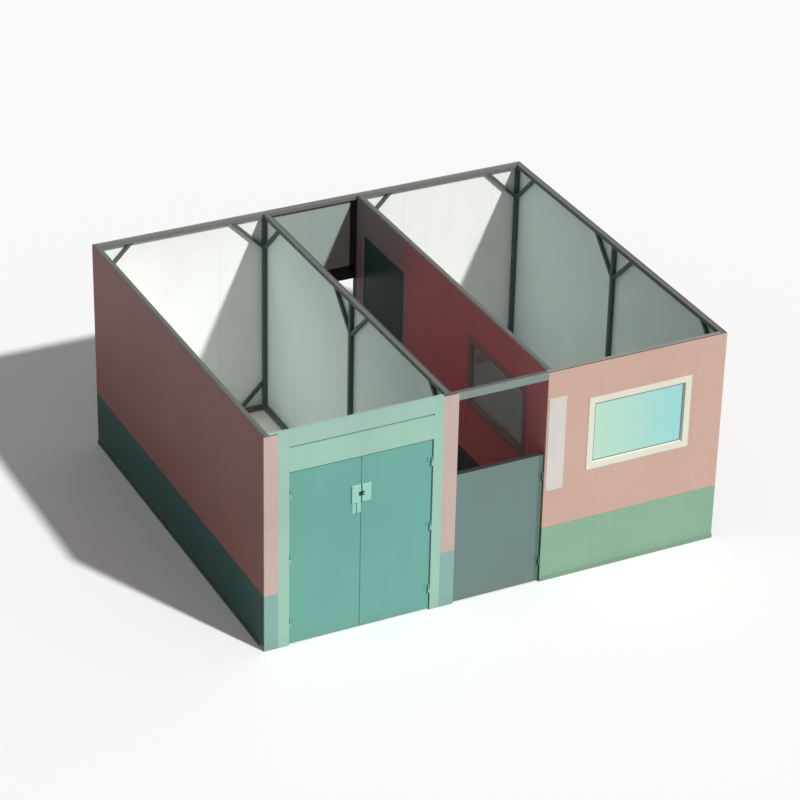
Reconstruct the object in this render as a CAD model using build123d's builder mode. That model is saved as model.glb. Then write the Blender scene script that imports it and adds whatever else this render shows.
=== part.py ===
"""A roofless gatehouse for a guard: a gate bay, an open passage and a guard room side by side.

A frame of square steel tube stands on the ground, with a knee brace in each corner of the frame.
Flat panels are fixed to the outside of that frame. Millimetres, Z up. The origin is in the middle
of the footprint, on the ground. The front is at -Y, and the gate bay is on the left, at -X.
"""

import os
from math import sqrt

from build123d import *

# Overall sizes
depth = 4580
height = 2500

# Widths along the front, from the left corner to the right one
corner_strip = 154
gate_jamb_left = 120
gate_width = 1590
gate_jamb_right = 105
pier_width = 165
passage_door_opening = 1020
guard_front = 2104

# Sections and thicknesses
tube = 50
tube_corner = 5
panel = 15
brace_bar = 35
brace_leg = 390
foot_brace_leg = 320
track_proud = 6
track_height = 50
track_web = 4
pier_lip = 65

# Gate
gate_head = 2040
gate_top_height = 170
gate_groove = 20
leaf_thickness = 40
leaf_recess = 20
leaf_gap = 6
leaf_floor_gap = 10
meeting_gap = 10
leaf_edge = 2
lock_width = 100
lock_height = 200
lock_bottom = 1500
lock_proud = 16
lock_edge = 3
key_slot_width = 25
key_slot_height = 50
key_slot_bottom = 1575
pull_width = 45
pull_height = 120

# Doors
passage_door_height = 1550
door_sheet = 3
door_stile = 55
passage_head_height = 80
guard_door_width = 1000
guard_door_head = 2090
guard_door_from_back = 280
handle_height = 1050
handle_from_edge = 60
handle_length = 120
handle_radius = 9
handle_reach = 45
handle_plate_height = 200
handle_plate_width = 40
handle_plate_thickness = 4

# Windows
window_head = 2090
window_height = 850
front_window_width = 1220
front_window_from_right = 394
passage_window_width = 1300
passage_window_from_front = 450
casing_width = 70
lining_thickness = 30
glass_thickness = 6
glass_recess = 20

# Lift-off hinges: a lower half with the pin, and an upper half that drops over it
hinge_radius = 9
hinge_half = 50
hinge_pin_radius = 4.5
hinge_pin_height = 44
hinge_clearance = 0.3
hinge_gap = 1
hinge_plate = 5
hinge_strap = 45
hinge_offset = 14
hinge_end_distance = 260

# The box of the whole footprint, out to the faces of the base track
width = (
    2 * track_proud + corner_strip + gate_jamb_left + gate_width + gate_jamb_right
    + pier_width + passage_door_opening + guard_front
)
left, right = -width / 2, width / 2
front, back = -depth / 2, depth / 2

# Outer face of the panels, inner face of the panels, inner face of the frame
skin_left, skin_right = left + track_proud, right - track_proud
skin_front, skin_back = front + track_proud, back - track_proud
frame_left, frame_right = skin_left + panel, skin_right - panel
frame_front, frame_back = skin_front + panel, skin_back - panel
room_left, room_right = frame_left + tube, frame_right - tube
room_front, room_back = frame_front + tube, frame_back - tube

# Places along the front
gate_left = skin_left + corner_strip + gate_jamb_left
gate_right = gate_left + gate_width
pier_left = gate_right + gate_jamb_right
pier_right = pier_left + pier_width
passage_left = pier_right - pier_lip
passage_right = pier_right + passage_door_opening

# Each partition has its panel on the passage side and its tubes on the room side
partition_1_panel = passage_left - panel
partition_1_tube = partition_1_panel - tube
partition_2_panel = passage_right
partition_2_tube = passage_right + panel

# Heights
rail_bottom = height - tube
panel_bottom = track_web
gate_top = height - gate_top_height
header_top = gate_top - gate_groove
window_sill = window_head - window_height

# Guard door and windows
guard_door_rear = back - guard_door_from_back
guard_door_front = guard_door_rear - guard_door_width
window_right = skin_right - front_window_from_right
window_left = window_right - front_window_width
passage_window_front = front + passage_window_from_front
passage_window_rear = passage_window_front + passage_window_width


def across(x):
    """A plane that faces +X at the given place, for walls that run front to back."""
    return Plane.YZ.offset(x)


def along(y):
    """A plane that faces -Y at the given place, for walls that run left to right."""
    return Plane.XZ.offset(-y)


def outline(*points):
    """A closed face through the points, in the sketch it is called in."""
    Polygon(*points, align=None)


def rectangle(u0, u1, v0, v1, mode=Mode.ADD):
    """A rectangle between two corners, in the sketch it is called in."""
    with Locations(((u0 + u1) / 2, (v0 + v1) / 2)):
        Rectangle(u1 - u0, v1 - v0, mode=mode)


def box_between(x0, x1, y0, y1):
    """A rectangle between two corners given in any order."""
    rectangle(min(x0, x1), max(x0, x1), min(y0, y1), max(y0, y1))


def knee(corner_u, corner_v, out, down, leg):
    """A bar at 45 degrees with both ends cut to seat, on a post at corner_u and a rail at corner_v."""
    cut = brace_bar * sqrt(2)
    outline(
        (corner_u, corner_v + down * leg),
        (corner_u, corner_v + down * (leg - cut)),
        (corner_u + out * (leg - cut), corner_v),
        (corner_u + out * leg, corner_v),
    )


def tube_section(u, v):
    """The section of one tube, centred at u and v."""
    with Locations((u, v)):
        RectangleRounded(tube, tube, tube_corner)


def finish(part, name):
    part.part.label = name
    export_step(part.part, f"parts/{name}.step")


os.makedirs("parts", exist_ok=True)

# Middles of the tubes, for the posts and rails of each wall
middle_left, middle_right = frame_left + tube / 2, frame_right - tube / 2
middle_front, middle_back = frame_front + tube / 2, frame_back - tube / 2
middle_p1 = partition_1_tube + tube / 2
middle_p2 = partition_2_tube + tube / 2
middle_wall = 0
middle_rail = rail_bottom + tube / 2
middle_base = tube / 2

# Posts
with BuildPart() as corner_posts:
    with BuildSketch(Plane.XY):
        for x in (middle_left, middle_right):
            for y in (middle_front, middle_back):
                tube_section(x, y)
    extrude(amount=rail_bottom)
finish(corner_posts, "corner_posts")

with BuildPart() as partition_posts:
    with BuildSketch(Plane.XY):
        for x in (middle_p1, middle_p2):
            for y in (middle_front, middle_back):
                tube_section(x, y)
    extrude(amount=rail_bottom)
finish(partition_posts, "partition_posts")

with BuildPart() as mid_posts:
    with BuildSketch(Plane.XY):
        for x in (middle_left, middle_p1, middle_p2, middle_right):
            tube_section(x, middle_wall)
    extrude(amount=rail_bottom)
finish(mid_posts, "mid_posts")

# Top rails: the side rails run from front to back, and the others end against them
with BuildPart() as side_top_rails:
    with BuildSketch(along(frame_front)):
        for x in (middle_left, middle_right):
            tube_section(x, middle_rail)
    extrude(amount=-(frame_back - frame_front))
finish(side_top_rails, "side_top_rails")

for rail_name, rail_y in (("front_top_rail", middle_front), ("back_top_rail", middle_back)):
    with BuildPart() as end_rail:
        with BuildSketch(across(room_left)):
            tube_section(rail_y, middle_rail)
        extrude(amount=room_right - room_left)
    finish(end_rail, rail_name)

with BuildPart() as partition_top_rails:
    with BuildSketch(along(room_front)):
        for x in (middle_p1, middle_p2):
            tube_section(x, middle_rail)
    extrude(amount=-(room_back - room_front))
finish(partition_top_rails, "partition_top_rails")

# Base rails lie on the ground between the posts, and stop at each doorway
with BuildPart() as base_rails:
    mid_front, mid_rear = middle_wall - tube / 2, middle_wall + tube / 2
    runs_y = []
    for x in (middle_left, middle_p1, middle_right):
        runs_y.append((x, room_front, mid_front))
        runs_y.append((x, mid_rear, room_back))
    runs_y.append((middle_p2, room_front, mid_front))
    runs_y.append((middle_p2, mid_rear, guard_door_front - tube))
    for x, start, end in runs_y:
        with BuildSketch(along(start)):
            tube_section(x, middle_base)
        extrude(amount=-(end - start))
    runs_x = [
        (middle_back, room_left, partition_1_tube),
        (middle_back, partition_2_tube + tube, room_right),
        (middle_front, partition_2_tube + tube, room_right),
    ]
    for y, start, end in runs_x:
        with BuildSketch(across(start)):
            tube_section(y, middle_base)
        extrude(amount=end - start)
finish(base_rails, "base_rails")

# Knee braces, one in each upper corner that a post makes with its rail
brace_inset = (tube - brace_bar) / 2
front_and_middle = (
    (room_front, 1),
    (middle_wall - tube / 2, -1),
    (middle_wall + tube / 2, 1),
)
all_posts = (*front_and_middle, (room_back, -1))


def brace_walls(name, walls):
    """The knee braces of walls that run front to back: where each one's tubes start, and its corners."""
    with BuildPart() as braces:
        for face, corners in walls:
            with BuildSketch(across(face + brace_inset)):
                for corner, out in corners:
                    knee(corner, rail_bottom, out, -1, brace_leg)
            extrude(amount=brace_bar)
    finish(braces, name)


brace_walls("side_wall_braces", ((frame_left, all_posts), (room_right, all_posts)))
brace_walls(
    "partition_braces",
    ((partition_1_tube, all_posts), (partition_2_tube, front_and_middle)),
)

with BuildPart() as end_wall_braces:
    with BuildSketch(along(room_back + brace_inset)):
        for corner, out in (
            (room_left, 1),
            (partition_1_tube, -1),
            (partition_2_tube + tube, 1),
            (room_right, -1),
        ):
            knee(corner, rail_bottom, out, -1, brace_leg)
            knee(corner, tube, out, 1, foot_brace_leg)
    extrude(amount=-brace_bar)
    with BuildSketch(along(frame_front + brace_inset)):
        knee(partition_2_tube + tube, rail_bottom, 1, -1, brace_leg)
        knee(room_right, rail_bottom, -1, -1, brace_leg)
    extrude(amount=-brace_bar)
finish(end_wall_braces, "end_wall_braces")

# Side walls
for wall_name, wall_x in (("left_wall", skin_left), ("right_wall", frame_right)):
    with BuildPart() as side_wall:
        with BuildSketch(across(wall_x)):
            rectangle(frame_front, frame_back, panel_bottom, height)
        extrude(amount=panel)
    finish(side_wall, wall_name)

# Back wall: a panel behind each room, and a transom over the way out of the passage
for wall_name, start, end, bottom in (
    ("back_wall_gate_bay", skin_left, passage_left, panel_bottom),
    ("passage_transom", passage_left, passage_right, passage_door_height),
    ("back_wall_guard_room", passage_right, skin_right, panel_bottom),
):
    with BuildPart() as back_wall:
        with BuildSketch(along(frame_back)):
            rectangle(start, end, bottom, height)
        extrude(amount=-panel)
    finish(back_wall, wall_name)

# Front wall: corner strip and pier are folded panels with returns beside the openings
with BuildPart() as front_corner_panel:
    corner_right = skin_left + corner_strip
    with BuildSketch(Plane.XY):
        rectangle(skin_left, corner_right, skin_front, frame_front)
        rectangle(corner_right - panel, corner_right, skin_front, room_front)
    extrude(amount=rail_bottom)
    with BuildSketch(Plane.XY.offset(rail_bottom)):
        rectangle(skin_left, corner_right, skin_front, frame_front)
    extrude(amount=tube)
finish(front_corner_panel, "front_corner_panel")

with BuildPart() as front_pier:
    with BuildSketch(Plane.XY):
        rectangle(pier_left, pier_right, skin_front, frame_front)
        rectangle(pier_left, pier_left + panel, skin_front, room_front)
        rectangle(pier_right - panel, pier_right, skin_front, room_front)
    extrude(amount=rail_bottom)
    with BuildSketch(Plane.XY.offset(rail_bottom)):
        rectangle(pier_left, pier_right, skin_front, frame_front)
    extrude(amount=tube)
finish(front_pier, "front_pier")

with BuildPart() as front_window_wall:
    with BuildSketch(along(skin_front)):
        rectangle(passage_right, skin_right, panel_bottom, height)
        rectangle(
            window_left + casing_width - lining_thickness,
            window_right - casing_width + lining_thickness,
            window_sill + casing_width - lining_thickness,
            window_head - casing_width + lining_thickness,
            mode=Mode.SUBTRACT,
        )
    extrude(amount=-panel)
finish(front_window_wall, "front_window_wall")

with BuildPart() as passage_head:
    with BuildSketch(along(skin_front)):
        rectangle(pier_right, passage_right, height - passage_head_height, height)
    extrude(amount=-panel)
finish(passage_head, "passage_head")

# Partitions, notched round the front and back rails
with BuildPart() as partition_1_wall:
    with BuildSketch(across(partition_1_panel)):
        rectangle(frame_front, frame_back, 0, rail_bottom)
        rectangle(room_front, room_back, rail_bottom, height)
    extrude(amount=panel)
finish(partition_1_wall, "partition_1_wall")

with BuildPart() as partition_2_wall:
    with BuildSketch(across(partition_2_panel)):
        rectangle(frame_front, guard_door_front, 0, rail_bottom)
        rectangle(room_front, guard_door_front, rail_bottom, height)
        rectangle(
            passage_window_front + casing_width - lining_thickness,
            passage_window_rear - casing_width + lining_thickness,
            window_sill + casing_width - lining_thickness,
            window_head - casing_width + lining_thickness,
            mode=Mode.SUBTRACT,
        )
    extrude(amount=panel)
finish(partition_2_wall, "partition_2_wall")

with BuildPart() as partition_2_over_door:
    with BuildSketch(across(partition_2_panel)):
        rectangle(guard_door_front, guard_door_rear, guard_door_head, height)
    extrude(amount=panel)
finish(partition_2_over_door, "partition_2_over_door")

with BuildPart() as partition_2_rear_wall:
    with BuildSketch(across(partition_2_panel)):
        rectangle(guard_door_rear, frame_back, 0, rail_bottom)
        rectangle(guard_door_rear, room_back, rail_bottom, height)
    extrude(amount=panel)
finish(partition_2_rear_wall, "partition_2_rear_wall")

def track_section(outer, inward):
    """The angle that holds the foot of a panel, from its outer face inwards."""
    flange = outer + inward * track_proud
    inner = flange + inward * panel
    outline(
        (outer, 0),
        (inner, 0),
        (inner, track_web),
        (flange, track_web),
        (flange, track_height),
        (outer, track_height),
    )


# Base tracks under the panels, a little proud of them
with BuildPart() as side_base_tracks:
    with BuildSketch(along(frame_front)):
        track_section(left, 1)
        track_section(right, -1)
    extrude(amount=-(frame_back - frame_front))
finish(side_base_tracks, "side_base_tracks")

with BuildPart() as end_base_tracks:
    for outer, inward, start, end in (
        (front, 1, passage_right, right),
        (back, -1, left, passage_left),
        (back, -1, passage_right, right),
    ):
        with BuildSketch(across(start)):
            track_section(outer, inward)
        extrude(amount=end - start)
finish(end_base_tracks, "end_base_tracks")

# Gate frame
with BuildPart() as gate_jambs:
    with BuildSketch(Plane.XY):
        rectangle(gate_left - gate_jamb_left, gate_left, skin_front, room_front)
        rectangle(gate_right, pier_left, skin_front, room_front)
    extrude(amount=gate_top)
finish(gate_jambs, "gate_jambs")

with BuildPart() as gate_header:
    with BuildSketch(along(skin_front)):
        rectangle(gate_left, gate_right, gate_head, header_top)
    extrude(amount=-(panel + tube))
finish(gate_header, "gate_header")

with BuildPart() as gate_groove_strip:
    with BuildSketch(along(frame_front)):
        rectangle(gate_left, gate_right, header_top, gate_top)
    extrude(amount=-tube)
finish(gate_groove_strip, "gate_groove_strip")

with BuildPart() as gate_top_panel:
    with BuildSketch(along(skin_front)):
        rectangle(gate_left - gate_jamb_left, pier_left, gate_top, height)
    extrude(amount=-panel)
finish(gate_top_panel, "gate_top_panel")

# Gate leaves
leaf_face = skin_front + leaf_recess
gate_middle = (gate_left + gate_right) / 2


def flush_leaf(name, x0, x1, y0, y1, head):
    """A flush leaf that clears the ground and its frame, with its upright edges eased."""
    with BuildPart() as leaf:
        with BuildSketch(Plane.XY.offset(leaf_floor_gap)):
            rectangle(x0, x1, y0, y1)
        extrude(amount=head - leaf_gap - leaf_floor_gap)
        chamfer(leaf.edges().filter_by(Axis.Z), leaf_edge)
    finish(leaf, name)


leaf_back = leaf_face + leaf_thickness
half_meeting = meeting_gap / 2
for leaf_name, leaf_start, leaf_end in (
    ("gate_leaf_left", gate_left + leaf_gap, gate_middle - half_meeting),
    ("gate_leaf_right", gate_middle + half_meeting, gate_right - leaf_gap),
):
    flush_leaf(leaf_name, leaf_start, leaf_end, leaf_face, leaf_back, gate_head)

# Lock case: one half on each leaf, with half of the key slot cut in each, and a pull on the left
def lock_half(name, side, pull):
    """Half of the case, on the leaf at the given side of the gate's middle."""
    edge = gate_middle + side * (half_meeting + leaf_edge)
    outer = edge + side * lock_width
    grip = edge + side * pull_width
    slot = edge + side * key_slot_width
    with BuildPart() as case:
        with BuildSketch(along(leaf_face - lock_proud)):
            box_between(edge, outer, lock_bottom, lock_bottom + lock_height)
            if pull:
                box_between(edge, grip, lock_bottom - pull_height, lock_bottom)
        extrude(amount=-lock_proud)
        chamfer(case.faces().sort_by(Axis.Y)[0].edges(), lock_edge)
        with BuildSketch(along(leaf_face - lock_proud)):
            box_between(edge, slot, key_slot_bottom, key_slot_bottom + key_slot_height)
        extrude(amount=-lock_proud, mode=Mode.SUBTRACT)
    finish(case, name)


lock_half("gate_lock_left", -1, pull=True)
lock_half("gate_lock_right", 1, pull=False)

# Passage door: a leaf with a face sheet that stops short of the hinge stile
with BuildPart() as passage_door:
    door_left, door_right = pier_right + leaf_gap, passage_right - leaf_gap
    with BuildSketch(Plane.XY.offset(leaf_floor_gap)):
        rectangle(door_left, door_right, leaf_face + door_sheet, leaf_back)
    extrude(amount=passage_door_height - leaf_floor_gap)
    chamfer(passage_door.edges().filter_by(Axis.Z), leaf_edge)
    with BuildSketch(along(leaf_face)):
        rectangle(door_left, door_right - door_stile, leaf_floor_gap, passage_door_height)
    extrude(amount=-door_sheet)
finish(passage_door, "passage_door")

# Guard-room door, which swings into the room
guard_leaf_face = partition_2_tube + tube - leaf_recess
with BuildPart() as guard_door_frame:
    with BuildSketch(across(partition_2_tube)):
        rectangle(guard_door_front - tube, guard_door_rear + tube, 0, guard_door_head + tube)
        rectangle(guard_door_front, guard_door_rear, 0, guard_door_head, mode=Mode.SUBTRACT)
    extrude(amount=tube)
finish(guard_door_frame, "guard_door_frame")

flush_leaf(
    "guard_door",
    guard_leaf_face - leaf_thickness,
    guard_leaf_face,
    guard_door_front + leaf_gap,
    guard_door_rear - leaf_gap,
    guard_door_head,
)

# Lever handle, a plate and a cranked bar on each face of the door
handle_y = guard_door_front + leaf_gap + handle_from_edge
with BuildPart() as guard_door_handle:
    for face, out in ((guard_leaf_face, 1), (guard_leaf_face - leaf_thickness, -1)):
        with BuildSketch(across(face)):
            with Locations((handle_y, handle_height)):
                RectangleRounded(handle_plate_width, handle_plate_height, handle_plate_width / 4)
        extrude(amount=out * handle_plate_thickness)
        with BuildSketch(across(face)):
            with Locations((handle_y, handle_height)):
                Circle(handle_radius)
        extrude(amount=out * handle_reach)
        grip = face + out * (handle_reach - handle_radius)
        with BuildSketch(along(handle_y)):
            with Locations((grip, handle_height)):
                Circle(handle_radius)
        extrude(amount=-handle_length)
finish(guard_door_handle, "guard_door_handle")

# Windows: a casing over the panel's edge, with a lining through the wall
casing_inner = casing_width
lining_outer = casing_width - lining_thickness


def window_ring(u0, u1, inset_outer, inset_inner):
    rectangle(
        u0 + inset_outer, u1 - inset_outer, window_sill + inset_outer, window_head - inset_outer
    )
    rectangle(
        u0 + inset_inner,
        u1 - inset_inner,
        window_sill + inset_inner,
        window_head - inset_inner,
        mode=Mode.SUBTRACT,
    )


with BuildPart() as window_frames:
    with BuildSketch(along(front)):
        window_ring(window_left, window_right, 0, casing_inner)
    extrude(amount=-track_proud)
    with BuildSketch(along(skin_front)):
        window_ring(window_left, window_right, lining_outer, casing_inner)
    extrude(amount=-(panel + tube))
    with BuildSketch(across(partition_2_panel - track_proud)):
        window_ring(passage_window_front, passage_window_rear, 0, casing_inner)
    extrude(amount=track_proud)
    with BuildSketch(across(partition_2_panel)):
        window_ring(passage_window_front, passage_window_rear, lining_outer, casing_inner)
    extrude(amount=panel + tube)
finish(window_frames, "window_frames")

with BuildPart() as window_glass:
    with BuildSketch(along(skin_front + glass_recess)):
        rectangle(
            window_left + casing_width,
            window_right - casing_width,
            window_sill + casing_width,
            window_head - casing_width,
        )
    extrude(amount=-glass_thickness)
    with BuildSketch(across(partition_2_panel + glass_recess)):
        rectangle(
            passage_window_front + casing_width,
            passage_window_rear - casing_width,
            window_sill + casing_width,
            window_head - casing_width,
        )
    extrude(amount=glass_thickness)
finish(window_glass, "window_glass")


# Hinges. A place is the pin's axis, the way to the jamb, the way to the leaf's face, the height of
# the leaf's head and the number of hinges.
hinge_y_front = leaf_face - hinge_offset
hinge_x_guard = guard_leaf_face + hinge_offset
hinge_places = {
    "gate_leaf_left": ((gate_left + hinge_offset, hinge_y_front), (-1, 0), (0, 1), gate_head, 3),
    "gate_leaf_right": ((gate_right - hinge_offset, hinge_y_front), (1, 0), (0, 1), gate_head, 3),
    "passage_door": (
        (passage_right - hinge_offset, hinge_y_front + door_sheet),
        (1, 0),
        (0, 1),
        passage_door_height,
        2,
    ),
    "guard_door": (
        (hinge_x_guard, guard_door_rear - hinge_offset), (0, 1), (-1, 0), guard_door_head, 3
    ),
}


def hinge_heights(top, count):
    """The heights of the joints between the two halves of each hinge of a leaf."""
    low = hinge_end_distance
    step = (top - 2 * hinge_end_distance) / (count - 1)
    return [low + step * i for i in range(count)]


def lower_section(place):
    """The half on the jamb: a barrel and the plate that ties it to the jamb's side."""
    (x, y), (jx, jy), *_ = place
    half = hinge_plate / 2
    with Locations((x, y)):
        Circle(hinge_radius)
    box_between(
        x - half * abs(jy),
        x + jx * hinge_offset + half * abs(jy),
        y - half * abs(jx),
        y + jy * hinge_offset + half * abs(jx),
    )


def upper_section(place):
    """The half on the leaf: a barrel and the strap that lies on the leaf's face."""
    (x, y), (jx, jy), (fx, fy), *_ = place
    strap_inner = hinge_offset - hinge_plate
    with Locations((x, y)):
        Circle(hinge_radius)
    box_between(
        x - jx * hinge_strap + fx * strap_inner,
        x + fx * hinge_offset,
        y - jy * hinge_strap + fy * strap_inner,
        y + fy * hinge_offset,
    )
    box_between(
        x - jx * hinge_plate,
        x + fx * hinge_offset,
        y - jy * hinge_plate,
        y + fy * hinge_offset,
    )


with BuildPart() as hinge_pins:
    for place in hinge_places.values():
        for z in hinge_heights(*place[3:]):
            with BuildSketch(Plane.XY.offset(z - hinge_half)):
                lower_section(place)
            extrude(amount=hinge_half)
            with BuildSketch(Plane.XY.offset(z)):
                with Locations(place[0]):
                    Circle(hinge_pin_radius)
            extrude(amount=hinge_pin_height)
finish(hinge_pins, "hinge_pins")

for leaf_name, place in hinge_places.items():
    with BuildPart() as leaf_hinges:
        for z in hinge_heights(*place[3:]):
            start = z + hinge_gap
            with BuildSketch(Plane.XY.offset(start)):
                upper_section(place)
            extrude(amount=hinge_half)
            with BuildSketch(Plane.XY.offset(start)):
                with Locations(place[0]):
                    Circle(hinge_pin_radius + hinge_clearance)
            extrude(amount=hinge_pin_height, mode=Mode.SUBTRACT)
    finish(leaf_hinges, f"{leaf_name}_hinges")
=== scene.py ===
"""The finish of a roofless guard booth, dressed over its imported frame.

The booth is a gate bay, a walk-through passage and a guard room side by side: square steel tube with
knee braces, and coated panels on the outside of the tube. Metres, Z up, with the front at -Y.
"""

from math import cos, pi, radians, sin, sqrt

import bmesh
import bpy
from bpy.props import FloatProperty, FloatVectorProperty, PointerProperty
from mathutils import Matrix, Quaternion, Vector


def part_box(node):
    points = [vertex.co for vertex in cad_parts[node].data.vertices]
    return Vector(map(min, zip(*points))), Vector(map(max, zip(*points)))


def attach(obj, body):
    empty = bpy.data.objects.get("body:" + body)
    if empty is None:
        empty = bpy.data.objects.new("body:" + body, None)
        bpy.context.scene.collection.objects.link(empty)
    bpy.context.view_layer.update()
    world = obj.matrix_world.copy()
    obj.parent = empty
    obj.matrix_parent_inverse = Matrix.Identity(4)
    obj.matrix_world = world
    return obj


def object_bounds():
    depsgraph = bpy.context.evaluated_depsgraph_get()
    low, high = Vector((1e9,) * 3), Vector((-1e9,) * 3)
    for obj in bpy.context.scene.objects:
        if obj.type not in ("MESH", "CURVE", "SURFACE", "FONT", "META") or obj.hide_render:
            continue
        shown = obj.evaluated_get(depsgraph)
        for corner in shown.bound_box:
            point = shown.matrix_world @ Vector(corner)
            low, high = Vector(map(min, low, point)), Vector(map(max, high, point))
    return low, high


bl_info = {
    "name": "Guard booth finish",
    "version": (1, 0, 0),
    "blender": (4, 5, 0),
    "location": "View3D > Sidebar > Booth",
    "description": "Paints a packed guard booth and adds its screws, seals, lock and sign plate",
    "category": "Object",
}

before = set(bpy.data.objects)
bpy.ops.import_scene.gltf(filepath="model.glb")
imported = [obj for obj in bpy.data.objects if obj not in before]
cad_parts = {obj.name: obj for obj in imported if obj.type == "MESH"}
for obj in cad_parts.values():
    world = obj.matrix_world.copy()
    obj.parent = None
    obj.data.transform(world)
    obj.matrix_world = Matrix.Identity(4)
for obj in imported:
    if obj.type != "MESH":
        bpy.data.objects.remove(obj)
CAD_BOX = [list(corner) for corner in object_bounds()]
MILLIMETRE = 0.001
BODY = "booth"
# What lies nearer than this along Y belongs to the front wall
FRONT_ONLY = CAD_BOX[0][1] + 0.1
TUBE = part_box("base_rails")[1].z
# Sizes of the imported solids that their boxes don't give
BRACE_BAR = 0.035
BRACE_LEG = 0.390
FOOT_BRACE_LEG = 0.320
FRONT_PANE = 1.080
PASSAGE_PANE = 1.160
GLASS = 0.006
KEY_SLOT = 0.025
HINGE_HALF = 0.050
DOOR_STILE = 0.0552
HANDLE_PLATE = 0.004
# How far a piece reaches into the solid that it stands on, or stays back from one beside it
OVERLAP = 0.0005
# What lies nearer than these to a panel's inner face, or to the top of the walls, is on it
FACE_SKIN = 0.0005
TOP_SKIN = 0.0004
# From the booth to the lamp, as the shadow on the ground has it
TOWARDS_LAMP = (1.08, -2.27, 2.35)


# Colours and sizes


def srgb(red, green, blue):
    """A colour given as it shows on a screen, 0 to 255, as linear values."""
    channels = []
    for value in (red, green, blue):
        share = value / 255
        channels.append(share / 12.92 if share <= 0.04045 else ((share + 0.055) / 1.055) ** 2.4)
    return tuple(channels)


# Finishes that the sidebar doesn't set
DUST = srgb(128, 118, 102)
BARE_TUBE = srgb(120, 104, 92)
# Dust, and painted light: the tubes' upper faces at the top of the walls are lighter, as in sunlight
TUBE_TOP_LIT_AND_DUSTY = srgb(112, 112, 108)
PANEL_TOP = srgb(84, 80, 76)
KEY_BLACK = srgb(28, 31, 31)
LOCK_STEEL = srgb(176, 176, 168)
HANDLE_STEEL = srgb(178, 180, 178)
CYLINDER_STEEL = srgb(190, 184, 160)


def colour(name, description, default):
    """A colour that the sidebar sets, in linear values."""
    return FloatVectorProperty(
        name=name, description=description, subtype="COLOR", size=3, min=0, max=1, default=default
    )


def length(name, description, millimetres):
    """A size that the sidebar sets, given in millimetres and kept in metres."""
    return FloatProperty(
        name=name,
        description=description,
        default=millimetres * MILLIMETRE,
        min=0,
        unit="LENGTH",
        precision=4,
    )


def angle(name, description, degrees):
    """A turn that the sidebar sets, given in degrees and kept in radians."""
    return FloatProperty(name=name, description=description, default=radians(degrees), unit="ROTATION")


class BoothColours(bpy.types.PropertyGroup):
    """The paints and other finishes of the booth."""

    front_pink: colour("Front pink", "Upper paint of the front wall", srgb(204, 171, 156))
    front_green: colour("Front green", "Lower band of the front wall", srgb(139, 177, 152))
    corner_pink: colour("Corner pink", "Upper paint of the corner strip and the pier", srgb(197, 175, 168))
    corner_green: colour("Corner green", "Lower band of the corner strip and the pier", srgb(137, 176, 167))
    # Painted shade: the side and back walls carry a darker copy of the front's pink and green, the colour
    # they show in shade
    side_pink_shaded: colour("Side pink", "Upper paint of the side and back walls", srgb(142, 96, 92))
    side_green_shaded: colour("Side green", "Lower band of the side and back walls", srgb(44, 80, 75))
    # Painted shade: inside the passage the pink and green are deeper, darker copies of the front's, as they
    # show in shade and in the red light thrown between the partitions
    passage_red_shaded: colour("Passage red", "Upper paint inside the passage", srgb(195, 128, 131))
    # Painted shade: the passage's red greys towards its far end, where it lies deeper in shade
    passage_far_shade: colour("Passage dull", "Faded paint towards the passage's far end", srgb(134, 134, 134))
    passage_green_shaded: colour("Passage green", "Lower band inside the passage", srgb(62, 84, 78))
    inner_white: colour("Inner white", "Inner face of the left and back panels", srgb(249, 249, 246))
    # Painted shade: the inner faces that always stand in shade get a cool green tint
    inner_shade_tint: colour("Inner cool white", "Inner face of the right panels", srgb(234, 251, 244))
    transom_grey: colour("Transom grey", "Inner face of the panel at the passage's end", srgb(162, 180, 172))
    tube: colour("Tube", "Paint of the posts, rails and braces", srgb(88, 101, 95))
    # Painted light: the rail along the back is a lighter copy of the tube paint, as it shows in sunlight
    back_rail_lit: colour("Back rail", "Paint of the rail along the back", srgb(118, 119, 116))
    pale_trim: colour("Pale trim", "Strip over the gate and the passage", srgb(160, 194, 180))
    head_trim: colour("Head trim", "Strip over the passage", srgb(131, 145, 140))
    head_top: colour("Head top", "Upper side of the rail over the passage", srgb(92, 98, 94))
    wall_top: colour("Wall top", "Upper side of the rail over the window", srgb(148, 144, 136))
    # The folded angle is real. Its dark paint and its deep head under the transom are also painted shade
    # over the passage's far opening, where the ground beyond lies in shadow
    exit_trim: colour("Exit trim", "Folded angle round the passage's far end", srgb(50, 58, 54))
    groove: colour("Groove", "Recessed strip over the gate header", srgb(122, 158, 144))
    gate: colour("Gate", "Paint of the gate leaves", srgb(111, 170, 158))
    gate_frame: colour("Gate frame", "Paint of the gate's jambs and header", srgb(158, 198, 180))
    lock: colour("Lock", "Paint of the gate's lock case", srgb(156, 212, 196))
    passage_door: colour("Passage door", "Paint of the low door", srgb(111, 133, 129))
    door_stile: colour("Door stile", "Hinge stile of the low door", srgb(92, 117, 107))
    guard_door: colour("Guard door", "Paint of the guard room's door", srgb(36, 76, 74))
    window_cream: colour("Window cream", "Paint of the front window's frame", srgb(226, 226, 208))
    window_dark: colour("Window dark", "Paint of the passage window's frame", srgb(142, 136, 131))
    # Painted reflection: the front glass runs from pale at its left end to blue at its right
    glass_pale_reflection: colour("Glass, pale end", "Tint of the front glass at its left end", srgb(187, 228, 206))
    glass_blue_reflection: colour("Glass, blue end", "Tint of the front glass at its right end", srgb(155, 221, 218))
    glass_smoke: colour("Glass, passage", "Tint of the passage window", srgb(136, 156, 147))
    zinc: colour("Zinc", "Plated steel of hinges and fixings", srgb(150, 154, 154))
    rubber: colour("Rubber", "Lips and edge caps of the doors", srgb(34, 38, 37))
    seal: colour("Seal", "Rubber seals round the glass", srgb(118, 128, 122))
    sign: colour("Sign", "Face of the bare sign plate", srgb(214, 211, 204))


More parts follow.
